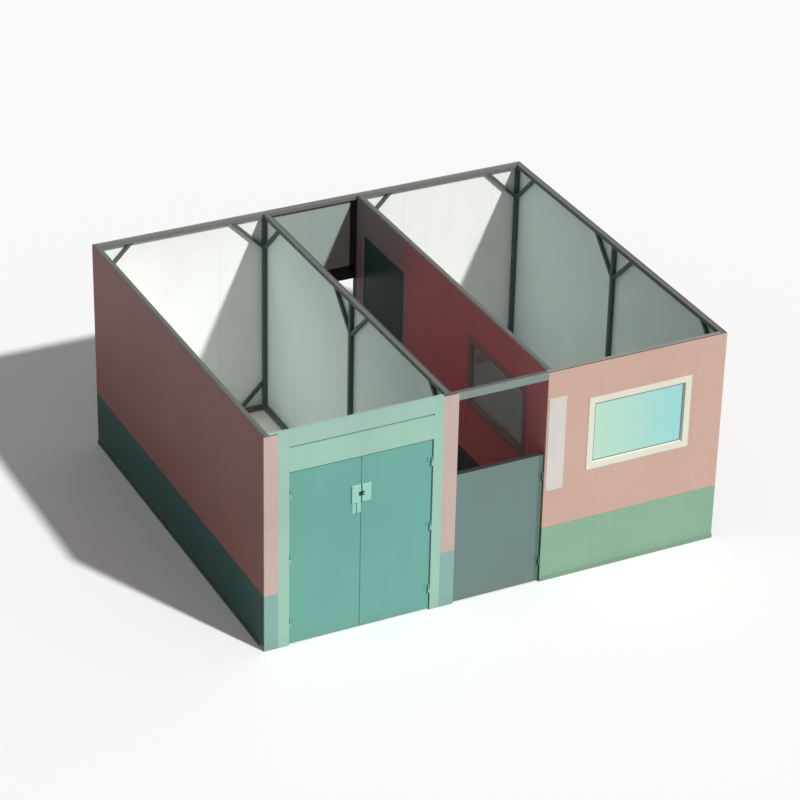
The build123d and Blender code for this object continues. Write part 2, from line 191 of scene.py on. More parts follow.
class BoothSizes(bpy.types.PropertyGroup):
    """The sizes of what is added to the frame."""

    band_top: length("Band top", "Height of the green lower band", 660)
    sheet_width: length("Sheet width", "Distance between the joints of the wall sheets", 1142)
    screw_pitch: length("Screw pitch", "Distance between the panel screws", 300)
    screw_head: length("Screw head", "Radius of a screw's hexagon head", 5)
    screw_rise: length("Screw rise", "Height of a screw's head", 3.2)
    screw_washer: length("Screw washer", "Radius of the washer under a screw head", 8.5)
    screw_seat: length("Screw seat", "Thickness of the washer under a screw head", 1.3)
    bolt_pitch: length("Bolt pitch", "Distance between the anchor bolts", 600)
    bolt_head: length("Bolt head", "Radius of an anchor bolt's head", 9.5)
    bolt_rise: length("Bolt rise", "Height of an anchor bolt's head", 7)
    bolt_washer: length("Bolt washer", "Radius of an anchor bolt's washer", 16)
    bolt_seat: length("Bolt seat", "Thickness of an anchor bolt's washer", 2.5)
    hinge_screw_head: length("Hinge screw head", "Radius of a hinge screw's head", 4)
    hinge_screw_rise: length("Hinge screw rise", "Height of a hinge screw's head", 2)
    hinge_screw_washer: length("Hinge screw washer", "Radius of a hinge screw's washer", 5.5)
    hinge_screw_seat: length("Hinge screw seat", "Thickness of a hinge screw's washer", 0.8)
    bead: length("Weld bead", "Radius of the weld bead round a brace's seat", 3)
    bead_step: length("Weld step", "Distance between the ripples of a weld bead", 9)
    sign_width: length("Sign width", "Width of the sign plate", 200)
    sign_top: length("Sign top", "Height of the sign plate's upper edge", 2190)
    sign_height: length("Sign height", "Height of the sign plate", 1090)
    sign_left: length("Sign left", "From the passage to the sign plate", 22)
    # Where the painted shade in the passage begins and where it is full, along Y
    shade_start: length("Fade start", "Where the passage's red begins to fade, along Y", 550)
    shade_end: length("Fade end", "Where the passage's red has faded, along Y", 1350)
    trim_sheet: length("Trim sheet", "Thickness of the folded angle at the passage's far end", 2)
    trim_leg: length("Trim leg", "Width of the folded angle inside the passage", 60)
    # The deep drop of the dark head is partly painted shade over the opening below it
    trim_drop: length("Trim drop", "How far the head of the folded angle hangs under the transom", 110)
    trim_lip: length("Trim lip", "Width of the folded angle outside the booth", 22)
    edge_strip: length("Edge strip", "How far a folded strip stands out of a gate leaf's meeting edge", 3.5)
    pull_plate_width: length("Pull plate width", "Width of the plate behind the gate's pull", 88)
    glazing_bead: length("Glazing bead", "Side of the quarter-round bead round the glass", 12)
    seal: length("Seal", "Width of the rubber seal round the glass", 9)
    lip: length("Door lip", "Depth of the rubber lip under a leaf", 7)


class BoothStage(bpy.types.PropertyGroup):
    """Camera, lamp and floor."""

    azimuth: angle("Azimuth", "Camera to the left of the front", 26.9)
    elevation: angle("Elevation", "Camera above the ground", 29.5)
    roll: angle("Roll", "Camera turned about its own axis", 1.3)
    distance: FloatProperty(name="Distance", description="Camera to the booth", default=33.2, unit="LENGTH")
    aim_height: FloatProperty(
        name="Aim height", description="Height that the camera looks at", default=1.13, unit="LENGTH"
    )
    lens: FloatProperty(name="Lens", description="Focal length in millimetres", default=138)
    key: FloatProperty(name="Key", description="Strength of the key lamp", default=3.2)
    softness: angle("Softness", "Angle that the key lamp fills", 2.5)
    fill: FloatProperty(name="Fill", description="Strength of the light from all round", default=0.25)
    floor_size: FloatProperty(name="Floor size", description="Side of the floor", default=160, unit="LENGTH")


# Node trees and finishes


class Wire:
    """A socket of a node tree. Arithmetic on it adds Math nodes to the tree."""

    def __init__(self, graph, socket):
        self.graph = graph
        self.socket = socket

    def maths(self, operation, first, second=0.0, clamp=False):
        settings = {"operation": operation, "use_clamp": clamp}
        return self.graph.node("ShaderNodeMath", settings, {0: first, 1: second})

    def __add__(self, other):
        return self.maths("ADD", self, other)

    def __sub__(self, other):
        return self.maths("SUBTRACT", self, other)

    def __rsub__(self, other):
        return self.maths("SUBTRACT", other, self)

    def __mul__(self, other):
        return self.maths("MULTIPLY", self, other)

    def __truediv__(self, other):
        return self.maths("DIVIDE", self, other)

    def __gt__(self, other):
        return self.maths("GREATER_THAN", self, other)

    def __lt__(self, other):
        return self.maths("LESS_THAN", self, other)

    __radd__ = __add__
    __rmul__ = __mul__

    def absolute(self):
        return self.maths("ABSOLUTE", self)

    def fraction(self):
        return self.maths("FRACT", self)

    def ramp(self, low, high):
        """0 below low, 1 above high, and smooth between them."""
        settings = {"interpolation_type": "SMOOTHSTEP", "clamp": True}
        sockets = {"Value": self, "From Min": low, "From Max": high, "To Min": 0.0, "To Max": 1.0}
        return self.graph.node("ShaderNodeMapRange", settings, sockets)


class Graph:
    """A node tree that is built in the script."""

    def __init__(self, tree):
        self.tree = tree

    def feed(self, socket, value):
        if isinstance(value, Wire):
            self.tree.links.new(value.socket, socket)
        elif value is not None:
            socket.default_value = value

    def node(self, kind, settings=None, sockets=None, output=0):
        """Adds a node: its settings first, then the values or links of its sockets."""
        node = self.tree.nodes.new(kind)
        for key, value in (settings or {}).items():
            setattr(node, key, value)
        for key, value in (sockets or {}).items():
            self.feed(node.inputs[key], value)
        return Wire(self, node.outputs[output])

    def seen(self):
        """1 on what the camera sees, straight or in a gloss or through glass, and 0 on what only lights."""
        rays = self.tree.nodes.new("ShaderNodeLightPath")
        names = ("Is Camera Ray", "Is Glossy Ray", "Is Transmission Ray")
        camera, glossy, through = (Wire(self, rays.outputs[name]) for name in names)
        return camera.maths("ADD", camera + glossy, through, clamp=True)


class Finish(Graph):
    """A material for one of the booth's finishes, in the piece's own coordinates."""

    def __init__(self, name):
        self.material = bpy.data.materials.new(name)
        self.material.use_nodes = True
        super().__init__(self.material.node_tree)
        self.surface = self.tree.nodes["Principled BSDF"]
        self.place = self.node("ShaderNodeTexCoord", output="Object")
        split = self.tree.nodes.new("ShaderNodeSeparateXYZ")
        self.feed(split.inputs[0], self.place)
        self.x, self.y, self.z = (Wire(self, socket) for socket in split.outputs)

    def noise(self, scale, detail=2.0, stretch=(1, 1, 1), seed=0.0):
        """Noise from 0 to 1, stretched by a share along each axis."""
        where = self.node(
            "ShaderNodeMapping",
            {"vector_type": "POINT"},
            {"Vector": self.place, "Scale": stretch, "Location": (seed, seed * 0.7, seed * 1.3)},
        )
        return self.node("ShaderNodeTexNoise", None, {"Vector": where, "Scale": scale, "Detail": detail})

    def mix(self, share, first, second):
        """The first colour, turning to the second as share goes to 1."""
        colours = [value if isinstance(value, Wire) else (*value, 1.0) for value in (first, second)]
        return self.node(
            "ShaderNodeMix",
            {"data_type": "RGBA"},
            {0: share, 6: colours[0], 7: colours[1]},
            output=2,
        )

    def shade(self, base, share, factor):
        """A colour multiplied by a grey factor where share is 1."""
        return self.node(
            "ShaderNodeMix",
            {"data_type": "RGBA", "blend_type": "MULTIPLY"},
            {0: share, 6: base if isinstance(base, Wire) else (*base, 1.0), 7: (*([factor] * 3), 1.0)},
            output=2,
        )

    def on_top(self):
        """1 on what faces up at the top of the walls."""
        return self.z > CAD_BOX[1][2] - TOP_SKIN

    def weathered(self, base, dust=0.16, streaks=0.5):
        """Paint with slow patches, faint runs down the wall and dust thrown up from the ground."""
        patches = self.noise(0.9, 3.0)
        runs = self.noise(9.0, 3.0, (1, 1, 0.06), 4.0)
        foot = self.noise(7.0, 4.0, seed=9.0)
        base = self.shade(base, patches.ramp(0.42, 0.72) * 0.6, 0.9)
        base = self.shade(base, runs.ramp(0.5, 0.75) * streaks * 0.5, 0.88)
        height = self.z + foot * 0.12
        dusty = (1 - height.ramp(0.05, 0.30)) * dust
        return self.mix(dusty, base, DUST)

    def painted(self, base, roughness):
        """Sprayed paint over sheet steel: a slight orange peel, and an uneven gloss."""
        peel = self.noise(160.0, 2.0, seed=2.0)
        waves = self.noise(2.2, 1.0, seed=6.0)
        self.feed(self.surface.inputs["Base Color"], base)
        self.feed(self.surface.inputs["Roughness"], roughness + (peel - 0.5) * 0.08 + (waves - 0.5) * 0.12)
        relief = peel * 0.15 + waves * 6.0
        bump = self.node("ShaderNodeBump", None, {"Height": relief, "Strength": 0.12, "Distance": 0.002})
        self.feed(self.surface.inputs["Normal"], bump)
        self.surface.inputs["Specular IOR Level"].default_value = 0.15
        return self.material


def plain_paint(name, base, roughness=0.42):
    """One even paint, a little dusty at its foot."""
    finish = Finish(name)
    return finish.painted(finish.weathered(base, 0.14, 0.4), roughness)


def tube_paint(name, base):
    """Paint on square tube, a little worn and darker towards the ground, and lighter on its upper faces at
    the top of the walls: dust there, and painted sunlight.
    """
    finish = Finish(name)
    chips = finish.noise(38.0, 6.0, seed=3.0).ramp(0.70, 0.74)
    worn = finish.mix(chips * 0.5, finish.weathered(base, 0.4, 0.3), BARE_TUBE)
    # Dust and painted sunlight on the upper faces at the top of the walls
    worn = finish.mix(finish.on_top() * 0.7, worn, TUBE_TOP_LIT_AND_DUSTY)
    return finish.painted(worn, 0.48)


def wall_paint(name, upper, lower, inner, skin=None, shaded_far_end=None):
    """Two paints outside, one above the other, and coated white sheet inside.

    skin is the axis across the panel and the place of its inner face, or None where none shows.
    The last argument, if given, is the colour that the upper paint turns to along the passage: painted shade
    towards its far end.
    """
    _, sizes, _ = settings()
    finish = Finish(name)
    # Painted shade, greying the upper paint towards the passage's far end
    if shaded_far_end:
        upper = finish.mix(finish.y.ramp(sizes.shade_start, sizes.shade_end), upper, shaded_far_end)
    blur = 0.003
    waver = (finish.noise(3.0, 2.0, seed=5.0) - 0.5) * (2 * blur)
    above = (finish.z + waver).ramp(sizes.band_top - blur, sizes.band_top + blur)
    base = finish.weathered(finish.mix(above, lower, upper))
    if skin:
        axis, inner_face = skin
        across, along = (finish.x, finish.y) if axis == 0 else (finish.y, finish.x)
        is_inside = (across - inner_face).absolute() < FACE_SKIN
        base = finish.mix(is_inside, base, finish.weathered(inner, 0.2, 0.25))
        half_joint = 0.001
        share = (along / sizes.sheet_width).fraction()
        joint = (share - 0.5).absolute() > 0.5 - half_joint / sizes.sheet_width
        base = finish.shade(base, joint, 0.6)
    base = finish.mix(finish.on_top(), base, PANEL_TOP)
    return finish.painted(base, 0.46)


def glass_tint_and_reflection(name, pale, blue, smoke):
    """Tinted glass. The front pane runs from a pale end to a blue one, a painted reflection, and the
    passage's is smoky.
    """
    finish = Finish(name)
    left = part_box("window_glass")[1].x - FRONT_PANE
    clouds = finish.noise(1.6, 2.0, seed=1.0)
    # Painted reflection running across the front pane
    share = ((finish.x - left) / FRONT_PANE + (clouds - 0.5) * 0.5).ramp(0.0, 1.0)
    behind = finish.y > FRONT_ONLY
    tint = finish.mix(behind, finish.mix(share, pale, blue), smoke)
    finish.feed(finish.surface.inputs["Base Color"], tint)
    finish.feed(finish.surface.inputs["Roughness"], 0.06 + clouds * 0.05)
    finish.feed(finish.surface.inputs["Alpha"], 0.86 + clouds * 0.08 - behind * 0.22)
    finish.surface.inputs["IOR"].default_value = 1.52
    finish.surface.inputs["Coat Weight"].default_value = 0.5
    return finish.material


def plated_steel(name, base, roughness=0.38):
    """Zinc-plated or brushed steel, with the faint spangle of the plating."""
    finish = Finish(name)
    spangle = finish.noise(220.0, 3.0, seed=8.0)
    finish.feed(finish.surface.inputs["Base Color"], finish.shade(base, spangle.ramp(0.4, 0.7), 0.82))
    finish.feed(finish.surface.inputs["Roughness"], roughness + (spangle - 0.5) * 0.16)
    finish.surface.inputs["Metallic"].default_value = 0.85
    return finish.material


def black_rubber(name, base):
    """Dull rubber with a fine grain."""
    finish = Finish(name)
    grain = finish.noise(300.0, 2.0)
    finish.feed(finish.surface.inputs["Base Color"], finish.shade(base, grain, 0.7))
    finish.feed(finish.surface.inputs["Roughness"], 0.72 + grain * 0.1)
    return finish.material


# Meshes and pieces


def dress(material, *nodes):
    """Gives the CAD nodes a finish."""
    for name in nodes:
        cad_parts[name].material_slots[0].material = material


def add_box(mesh, low, high, bevel):
    """A box between two corners in a bmesh, with its edges eased."""
    verts = bmesh.ops.create_cube(mesh, size=1.0)["verts"]
    for vert in verts:
        vert.co = [low[i] + (vert.co[i] + 0.5) * (high[i] - low[i]) for i in range(3)]
    edges = {edge for vert in verts for edge in vert.link_edges}
    bmesh.ops.bevel(mesh, geom=list(edges), offset=bevel, segments=2, affect="EDGES", profile=0.5)


def add_rings(mesh, rings, closed):
    """Skins a list of equal rings of points, and caps both ends unless the rings close on themselves."""
    made = [[mesh.verts.new(point) for point in ring] for ring in rings]
    pairs = list(zip(made, made[1:]))
    if closed:
        pairs.append((made[-1], made[0]))
    count = len(made[0])
    for first, second in pairs:
        for i in range(count):
            j = (i + 1) % count
            mesh.faces.new((first[i], first[j], second[j], second[i]))
    if not closed:
        mesh.faces.new(list(reversed(made[0])))
        mesh.faces.new(made[-1])


def add_turned(mesh, centre, axis, profile, segments):
    """A turned form: the profile is pairs of radius and height along the axis."""
    turn = Vector((0, 0, 1)).rotation_difference(Vector(axis))
    angles = [2 * pi * i / segments for i in range(segments)]
    rings = []
    for radius, height in profile:
        circle = [Vector((radius * cos(a), radius * sin(a), height)) for a in angles]
        rings.append([Vector(centre) + turn @ point for point in circle])
    add_rings(mesh, rings, closed=False)


def add_dome(mesh, centre, axis, radius, height):
    """A low domed screw head."""
    steps = [radians(18 * i) for i in range(5)]
    add_turned(mesh, centre, axis, [(radius * cos(a), height * sin(a)) for a in steps], 14)


def add_mitred_ring(mesh, low, high, section, at):
    """A bar mitred round an opening. The section is pairs: inwards from the edge, and out of the wall.

    low and high are corners of the opening in the wall's own plane, and at puts a point of that
    plane, with its distance out of the wall, in the frame.
    """
    corners = (
        (low[0], low[1], 1, 1),
        (high[0], low[1], -1, 1),
        (high[0], high[1], -1, -1),
        (low[0], high[1], 1, -1),
    )
    rings = []
    for u, v, to_u, to_v in corners:
        rings.append([at(u + to_u * inwards, v + to_v * inwards, out) for inwards, out in section])
    add_rings(mesh, rings, closed=True)


def add_strip(mesh, start, end, section):
    """A straight bar of one section, given as offsets across the run."""
    rings = [[Vector(point) + Vector(offset) for offset in section] for point in (start, end)]
    add_rings(mesh, rings, closed=False)


def add_plate(mesh, left, right, bottom, top, face, thickness, corner):
    """An upright plate with round corners, standing out of a wall to the front. Gives its front face."""
    centres = (
        (right - corner, top - corner, 0),
        (left + corner, top - corner, 90),
        (left + corner, bottom + corner, 180),
        (right - corner, bottom + corner, 270),
    )
    outline = [
        (x + corner * cos(radians(start + step)), face, z + corner * sin(radians(start + step)))
        for x, z, start in centres
        for step in range(0, 91, 18)
    ]
    back = mesh.faces.new([mesh.verts.new(point) for point in outline])
    grown = bmesh.ops.extrude_face_region(mesh, geom=[back], use_keep_orig=True)
    for vert in (item for item in grown["geom"] if isinstance(item, bmesh.types.BMVert)):
        vert.co.y -= thickness
    return next(item for item in grown["geom"] if isinstance(item, bmesh.types.BMFace))


def piece(name, mesh, material, body, smooth=False):
    """A finished piece from a bmesh, riding on its body."""
    bmesh.ops.recalc_face_normals(mesh, faces=mesh.faces)
    data = bpy.data.meshes.new(name)
    mesh.to_mesh(data)
    mesh.free()
    return place(name, data, material, body, smooth)


def place(name, data, material, body, smooth=False):
    """Puts a mesh in the scene with one finish, riding on its body."""
    data.materials.clear()
    data.materials.append(material)
    if smooth:
        data.shade_smooth()
        data.set_sharp_from_angle(angle=radians(35))
    made = bpy.data.objects.new(name, data)
    bpy.context.scene.collection.objects.link(made)
    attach(made, body)
    return made


# Pieces that repeat along a line, by Geometry Nodes


def new_tree(name, numbers):
    """A Geometry Nodes tree with a guide, named sizes and a material, and the wires of its inputs."""
    tree = bpy.data.node_groups.new(name, "GeometryNodeTree")
    tree.interface.new_socket("Guide", in_out="INPUT", socket_type="NodeSocketGeometry")
    for number in numbers:
        tree.interface.new_socket(number, in_out="INPUT", socket_type="NodeSocketFloat")
    tree.interface.new_socket("Facing", in_out="INPUT", socket_type="NodeSocketRotation")
    tree.interface.new_socket("Material", in_out="INPUT", socket_type="NodeSocketMaterial")
    tree.interface.new_socket("Result", in_out="OUTPUT", socket_type="NodeSocketGeometry")
    graph = Graph(tree)
    inputs = tree.nodes.new("NodeGroupInput")
    given = {socket.name: Wire(graph, socket) for socket in inputs.outputs if socket.name}
    return graph, given


def end_tree(graph, result, material):
    """Makes the copies real, gives them their finish and hands them out."""
    real = graph.node("GeometryNodeRealizeInstances", None, {"Geometry": result})
    dressed = graph.node("GeometryNodeSetMaterial", None, {"Geometry": real, "Material": material})
    outputs = graph.tree.nodes.new("NodeGroupOutput")
    graph.feed(outputs.inputs[0], dressed)
    return graph.tree


def screw_tree():
    """Hexagon screws on washers, at an even pitch along the guide's lines."""
    sizes = ("Pitch", "Head radius", "Head height", "Washer radius", "Washer height")
    graph, given = new_tree("screws_along_lines", sizes)
    line = graph.node("GeometryNodeMeshToCurve", None, {"Mesh": given["Guide"]})
    spots = graph.node(
        "GeometryNodeResampleCurve", {"mode": "LENGTH"}, {"Curve": line, "Length": given["Pitch"]}
    )
    joined = graph.tree.nodes.new("GeometryNodeJoinGeometry")
    for sides, radius, height, base in (
        (14, given["Washer radius"], given["Washer height"], 0.0),
        (6, given["Head radius"], given["Head height"], given["Washer height"]),
    ):
        solid = graph.node(
            "GeometryNodeMeshCylinder",
            {"fill_type": "NGON"},
            {"Vertices": sides, "Radius": radius, "Depth": height},
        )
        lift = graph.node("ShaderNodeCombineXYZ", None, {"Z": height * 0.5 + base})
        part = graph.node("GeometryNodeTransform", None, {"Geometry": solid, "Translation": lift})
        graph.feed(joined.inputs[0], part)
    copies = graph.node(
        "GeometryNodeInstanceOnPoints",
        None,
        {"Points": spots, "Instance": Wire(graph, joined.outputs[0]), "Rotation": given["Facing"]},
    )
    return end_tree(graph, copies, given["Material"])


def bead_tree():
    """A weld bead along the guide's lines, thick and thin in turn as a welder lays it."""
    graph, given = new_tree("weld_beads", ("Step", "Radius"))
    line = graph.node("GeometryNodeMeshToCurve", None, {"Mesh": given["Guide"]})
    steps = graph.node(
        "GeometryNodeResampleCurve", {"mode": "LENGTH"}, {"Curve": line, "Length": given["Step"]}
    )
    ripple = graph.node("ShaderNodeTexNoise", None, {"Scale": 90.0, "Detail": 1.0})
    swell = ripple * 0.9 + 0.55
    thick = graph.node("GeometryNodeSetCurveRadius", None, {"Curve": steps, "Radius": swell})
    section = graph.node(
        "GeometryNodeCurvePrimitiveCircle", None, {"Resolution": 6, "Radius": given["Radius"]}
    )
    bead = graph.node(
        "GeometryNodeCurveToMesh",
        None,
        {"Curve": thick, "Profile Curve": section, "Fill Caps": True, "Scale": swell},
    )
    return end_tree(graph, bead, given["Material"])


def follow(name, tree, chains, values, material, body, closed=False):
    """Runs a tree on a guide of one or more chains of points, and keeps the result as a plain mesh."""
    guide_mesh = bpy.data.meshes.new(name + "_guide")
    points, edges = [], []
    for chain in chains:
        first = len(points)
        points.extend(chain)
        edges.extend((first + i, first + i + 1) for i in range(len(chain) - 1))
        if closed:
            edges.append((len(points) - 1, first))
    guide_mesh.from_pydata(points, edges, [])
    guide = bpy.data.objects.new(name + "_guide", guide_mesh)
    bpy.context.scene.collection.objects.link(guide)
    modifier = guide.modifiers.new("follow", "NODES")
    modifier.node_group = tree
    values = {**values, "Material": material}
    for item in tree.interface.items_tree:
        if item.in_out == "INPUT" and item.name in values:
            modifier[item.identifier] = values[item.name]
    bpy.context.view_layer.update()
    evaluated = guide.evaluated_get(bpy.context.evaluated_depsgraph_get())
    data = bpy.data.meshes.new_from_object(evaluated)
    guide.modifiers.remove(modifier)
    bpy.data.objects.remove(guide)
    if not data.polygons:
        raise RuntimeError(f"{name} has come out empty")
    data.name = name
    return place(name, data, material, body)


# Facts about the booth


def screw_values(sizes, kind, pitch, normal):
    """The inputs of the screw tree for one kind of screw, standing out of a face along its normal."""
    return {
        "Pitch": pitch,
        "Head radius": getattr(sizes, kind + "_head"),
        "Head height": getattr(sizes, kind + "_rise"),
        "Washer radius": getattr(sizes, kind + "_washer"),
        "Washer height": getattr(sizes, kind + "_seat"),
        "Facing": tuple(Vector((0, 0, 1)).rotation_difference(Vector(normal)).to_euler()),
    }


def settings():
    """The booth's colours, sizes and stage, as the sidebar has them."""
    scene = bpy.context.scene
    return scene.booth_colours, scene.booth_sizes, scene.booth_stage


def middle(node, axis):
    """The middle of a node's box along an axis."""
    low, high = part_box(node)
    return (low[axis] + high[axis]) / 2


def spread(start, end, count):
    """Evenly spaced places, both ends with them."""
    return [start + (end - start) * i / (count - 1) for i in range(count)]


# Each panel, with the axis across it and the way out along that axis
WALL_FACES = {
    "left_wall": (0, -1),
    "right_wall": (0, 1),
    "back_wall_gate_bay": (1, 1),
    "back_wall_guard_room": (1, 1),
    "passage_transom": (1, 1),
    "front_window_wall": (1, -1),
    "partition_1_wall": (0, 1),
    "partition_2_wall": (0, -1),
    "partition_2_over_door": (0, -1),
    "partition_2_rear_wall": (0, -1),
}


def wall_colours(node):
    """The upper and the lower paint of the wall that a node is part of."""
    colours, _, _ = settings()
    if node.startswith("partition"):
        # The passage gets its darker copies, which hold painted shade
        return colours.passage_red_shaded, colours.passage_green_shaded
    if node.startswith("front"):
        return colours.front_pink, colours.front_green
    # The side and back walls get the darker copies, which hold painted shade
    return colours.side_pink_shaded, colours.side_green_shaded


class BOOTH_OT_walls(bpy.types.Operator):
    """Paint the panels: pink over green outside, white inside"""

    bl_idname = "booth.walls"
    bl_label = "Wall panels"

    def execute(self, context):
        colours, _, _ = settings()
        inner_colours = {
            "passage_transom": colours.transom_grey,
            # The right wall and the first partition face away from the lamp inside: their cool white is a
            # painted shade tint
            "partition_1_wall": colours.inner_shade_tint,
            "right_wall": colours.inner_shade_tint,
        }
        for node, (axis, way_out) in WALL_FACES.items():
            upper, lower = wall_colours(node)
            inner = inner_colours.get(node, colours.inner_white)
            inner_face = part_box(node)[0 if way_out > 0 else 1][axis]
            # Painted shade on the right partition towards the passage's far end
            shaded_far_end = colours.passage_far_shade if node.startswith("partition_2") else None
            dress(wall_paint(node + "_paint", upper, lower, inner, (axis, inner_face), shaded_far_end), node)
        folded = wall_paint(
            "folded_panel_paint", colours.corner_pink, colours.corner_green, colours.inner_white
        )
        dress(folded, "front_corner_panel", "front_pier")
        return {"FINISHED"}


class BOOTH_OT_wall_screws(bpy.types.Operator):
    """Screw the panels to the tubes behind them"""

    bl_idname = "booth.wall_screws"
    bl_label = "Wall screws"

    # Heights of the lowest screws, over a base track or a base rail, and of those on a top rail
    over_track = 0.085
    over_base = TUBE * 0.6
    top = CAD_BOX[1][2] - TUBE / 2

    def execute(self, context):
        colours, sizes, _ = settings()
        tree = screw_tree()
        pitch = sizes.screw_pitch
        sides = self.side_runs(pitch)
        faces = (
            ("front_wall_screws", "front_window_wall", self.front_runs(sizes)),
            ("back_wall_screws", "back_wall_gate_bay", self.back_runs(pitch)),
            ("left_wall_screws", "left_wall", sides),
            ("right_wall_screws", "right_wall", sides),
            ("passage_left_screws", "partition_1_wall", self.left_partition_runs(pitch)),
            ("passage_right_screws", "partition_2_wall", self.right_partition_runs(pitch)),
        )
        paints = {}
        for name, node, runs in faces:
            # Each screw takes its wall's paints, with the painted shade of the side walls and the passage
            pair = tuple(tuple(paint) for paint in wall_colours(node))
            if pair not in paints:
                paints[pair] = wall_paint(node + "_screw_paint", *pair, colours.inner_white)
            axis, way_out = WALL_FACES[node]
            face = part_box(node)[0 if way_out < 0 else 1].x
            normal = [way_out if i == axis else 0 for i in range(3)]
            runs = [[(face if x is None else x, y, z) for x, y, z in run] for run in runs]
            values = screw_values(sizes, "screw", pitch, normal)
            follow(name, tree, runs, values, paints[pair], BODY)
        values = screw_values(sizes, "screw", pitch, (0, -1, 0))
        face, from_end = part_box("front_window_wall")[0].y, 0.05
        for name, node, base in (
            ("trim", "gate_jambs", colours.pale_trim),
            ("head", "passage_head", colours.head_trim),
        ):
            low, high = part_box(node)
            run = [(low.x + from_end, face, self.top), (high.x - from_end, face, self.top)]
            paint = plain_paint(name + "_screw_paint", base)
            follow(name + "_screws", tree, [run], values, paint, BODY)
        return {"FINISHED"}

    def posts(self):
        """The middles of the posts: from left to right, and from front to back."""
        half = TUBE / 2
        low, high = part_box("corner_posts")
        first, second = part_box("partition_posts")
        across = (low.x + half, first.x + half, second.x - half, high.x - half)
        return across, (low.y + half, middle("mid_posts", 1), high.y - half)

    def upright(self, x, y, bottom=over_track):
        """A run up a post. An x of None is the wall's own face."""
        return [(x, y, bottom), (x, y, self.top)]

    def along_x(self, start, end, y, z, pitch):
        """A level run between two posts, which have the screws at its ends."""
        return [(start + pitch, y, z), (end - pitch, y, z)]

    def along_y(self, start, end, z, pitch):
        """The same on a side wall or a partition."""
        return [(None, start + pitch, z), (None, end - pitch, z)]

    def side_runs(self, pitch):
        """The left or the right wall's runs."""
        _, along = self.posts()
        runs = [self.upright(None, y) for y in along]
        return runs + [self.along_y(along[0], along[-1], z, pitch) for z in (self.over_track, self.top)]

    def back_runs(self, pitch):
        """The back's runs, on both sides of the passage."""
        across, _ = self.posts()
        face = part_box("back_wall_gate_bay")[1].y
        runs = [self.upright(x, face) for x in across]
        for start, end in (across[:2], across[2:]):
            runs += [self.along_x(start, end, face, z, pitch) for z in (self.over_track, self.top)]
        return runs

    def front_runs(self, sizes):
        """The front's runs. The one beside the passage makes room for the sign plate."""
        across, _ = self.posts()
        left, first, second, right = across
        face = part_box("front_window_wall")[0].y
        room, aside = 0.03, 0.012
        edge = second - aside
        under_sign = sizes.sign_top - sizes.sign_height - room
        runs = [self.upright(x, face) for x in (left, first, right)]
        runs.append([(edge, face, self.over_track), (edge, face, under_sign)])
        runs.append(self.upright(edge, face, sizes.sign_top + room))
        levels = (self.over_track, self.top)
        return runs + [self.along_x(second, right, face, z, sizes.screw_pitch) for z in levels]

    def passage_ends(self):
        """Where the passage's screws start behind the pier and end at the rear posts, along Y."""
        behind = 0.07
        _, along = self.posts()
        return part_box("front_pier")[1].y + behind, along[-1] - TUBE / 2

    def left_partition_runs(self, pitch):
        """The runs on the passage's left."""
        start, end = self.passage_ends()
        runs = [self.upright(None, y, self.over_base) for y in (start, middle("mid_posts", 1))]
        return runs + [self.along_y(start, end, z, pitch) for z in (self.over_base, self.top)]

    def right_partition_runs(self, pitch):
        """The runs on the passage's right, on both sides of the guard door's frame."""
        start, end = self.passage_ends()
        door_low, door_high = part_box("guard_door_frame")
        half = TUBE / 2
        places = (start, middle("mid_posts", 1), door_low.y + half, door_high.y - half)
        runs = [self.upright(None, y, self.over_base) for y in places]
        runs.append(self.along_y(start, end, self.top, pitch))
        runs.append(self.along_y(start, door_low.y, self.over_base, pitch))
        return runs


class BOOTH_OT_steel_frame(bpy.types.Operator):
    """Paint the posts, rails, braces and base tracks"""

    bl_idname = "booth.steel_frame"
    bl_label = "Steel frame"

    def execute(self, context):
        colours, _, _ = settings()
        dress(
            tube_paint("tube_paint", colours.tube),
            "corner_posts",
            "partition_posts",
            "mid_posts",
            "side_top_rails",
            "partition_top_rails",
            "base_rails",
            "side_wall_braces",
            "partition_braces",
            "end_wall_braces",
        )
        # Painted light on the rail along the back
        dress(tube_paint("back_rail_paint", colours.back_rail_lit), "back_top_rail")
        self.base_tracks(colours)
        dress(plain_paint("pale_trim_paint", colours.pale_trim), "gate_top_panel")
        dress(plain_paint("head_trim_paint", colours.head_trim), "passage_head")
        self.front_rail(colours)
        dress(plain_paint("groove_paint", colours.groove), "gate_groove_strip")
        return {"FINISHED"}

    def front_rail(self, colours):
        """The rail over the front is painted with what stands under it."""
        finish = Finish("front_rail_paint")
        after_gate = finish.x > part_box("gate_top_panel")[1].x
        after_passage = finish.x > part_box("front_window_wall")[0].x
        base = finish.mix(after_gate, colours.pale_trim, colours.head_top)
        base = finish.mix(after_passage, base, colours.wall_top)
        dress(finish.painted(finish.weathered(base), 0.45), "front_top_rail")

    def base_tracks(self, colours):
        """The base track is painted with the lower band of its wall."""
        finish = Finish("base_track_paint")
        front = finish.y < FRONT_ONLY
        # The side tracks take the side walls' green, with its painted shade
        base = finish.shade(finish.mix(front, colours.side_green_shaded, colours.front_green), 1.0, 0.86)
        dress(finish.painted(finish.weathered(base, 0.2), 0.5), "side_base_tracks", "end_base_tracks")


